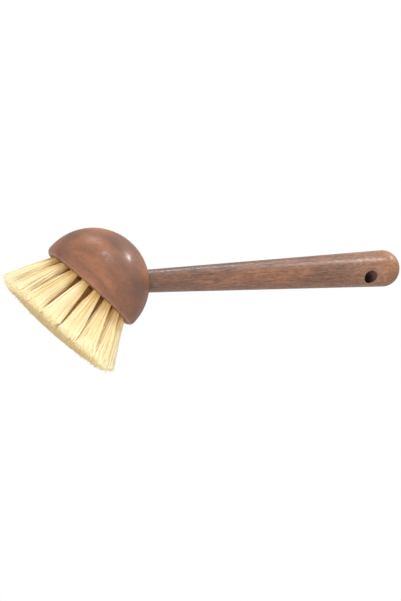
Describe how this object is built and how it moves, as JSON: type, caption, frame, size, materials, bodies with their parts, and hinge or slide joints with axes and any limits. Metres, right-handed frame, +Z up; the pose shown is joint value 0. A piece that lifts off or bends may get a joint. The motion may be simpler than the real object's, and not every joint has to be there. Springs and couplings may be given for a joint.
{
  "type": "dish brush",
  "caption": "Dish brush with a turned wooden ball head, flat-faced and full of splayed pale plant-fibre tufts, and a slanted tapered wooden handle with a hanging hole in its domed end.",
  "frame": {"origin": "lowest point of the domed bristle tips, on the head's axis, at the plane that they press on", "axes": "+Z up the head's axis, from the tips through the face to the top of the ball; +X to the side that the handle leans to; +Y completes the right hand"},
  "size_m": [0.1752, 0.0832, 0.1704],
  "materials": {
    "head_wood": "satin oiled dark hardwood",
    "handle_wood": "satin oiled dark hardwood, grain along the handle",
    "fibre": "pale straw plant fibre",
    "anchor_steel": "plain flat wire"
  },
  "bodies": {
    "root": {"head_block": "head_wood", "handle": "handle_wood", "bristles_centre": "fibre", "bristles_inner": "fibre", "bristles_middle": "fibre", "bristles_outer": "fibre", "anchor_centre": "anchor_steel", "anchor_inner_1": "anchor_steel", "anchor_inner_2": "anchor_steel", "anchor_inner_3": "anchor_steel", "anchor_inner_4": "anchor_steel", "anchor_inner_5": "anchor_steel", "anchor_inner_6": "anchor_steel", "anchor_middle_1": "anchor_steel", "anchor_middle_2": "anchor_steel", "anchor_middle_3": "anchor_steel", "anchor_middle_4": "anchor_steel", "anchor_middle_5": "anchor_steel", "anchor_middle_6": "anchor_steel", "anchor_middle_7": "anchor_steel", "anchor_middle_8": "anchor_steel", "anchor_middle_9": "anchor_steel", "anchor_middle_10": "anchor_steel", "anchor_middle_11": "anchor_steel", "anchor_middle_12": "anchor_steel", "anchor_outer_1": "anchor_steel", "anchor_outer_2": "anchor_steel", "anchor_outer_3": "anchor_steel", "anchor_outer_4": "anchor_steel", "anchor_outer_5": "anchor_steel", "anchor_outer_6": "anchor_steel", "anchor_outer_7": "anchor_steel", "anchor_outer_8": "anchor_steel", "anchor_outer_9": "anchor_steel", "anchor_outer_10": "anchor_steel", "anchor_outer_11": "anchor_steel", "anchor_outer_12": "anchor_steel", "anchor_outer_13": "anchor_steel", "anchor_outer_14": "anchor_steel", "anchor_outer_15": "anchor_steel", "anchor_outer_16": "anchor_steel", "anchor_outer_17": "anchor_steel", "anchor_outer_18": "anchor_steel"}
  },
  "joints": []
}
